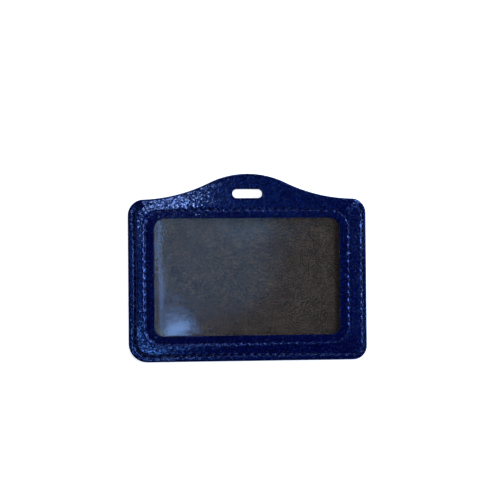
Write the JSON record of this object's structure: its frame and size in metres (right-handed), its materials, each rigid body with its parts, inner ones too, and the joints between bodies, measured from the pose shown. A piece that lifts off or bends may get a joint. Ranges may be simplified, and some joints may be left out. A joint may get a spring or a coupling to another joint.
{
  "type": "id holder",
  "caption": "Horizontal card holder in stitched leatherette with a padded frame round a clear window, a pocket open at the top and a lanyard slot.",
  "frame": {"origin": "middle of the underside of the whole object's box, on the surface that it lies on", "axes": "+X along the long side, +Y towards the arched top with the lanyard slot, +Z out of the window face"},
  "size_m": [0.11, 0.0864, 0.0046],
  "materials": {
    "front_leatherette": "satin",
    "back_leatherette": "satin",
    "foam": "matte",
    "clear_film": "gloss",
    "lining": "matte",
    "thread": "satin"
  },
  "bodies": {
    "root": {"front_cover": "front_leatherette", "front_padding": "foam", "window_film": "clear_film", "window_needle_thread": "thread", "window_bobbin_thread": "thread", "back_lining": "lining", "back_cover": "back_leatherette", "edge_needle_thread": "thread", "edge_bobbin_thread": "thread"}
  },
  "joints": []
}
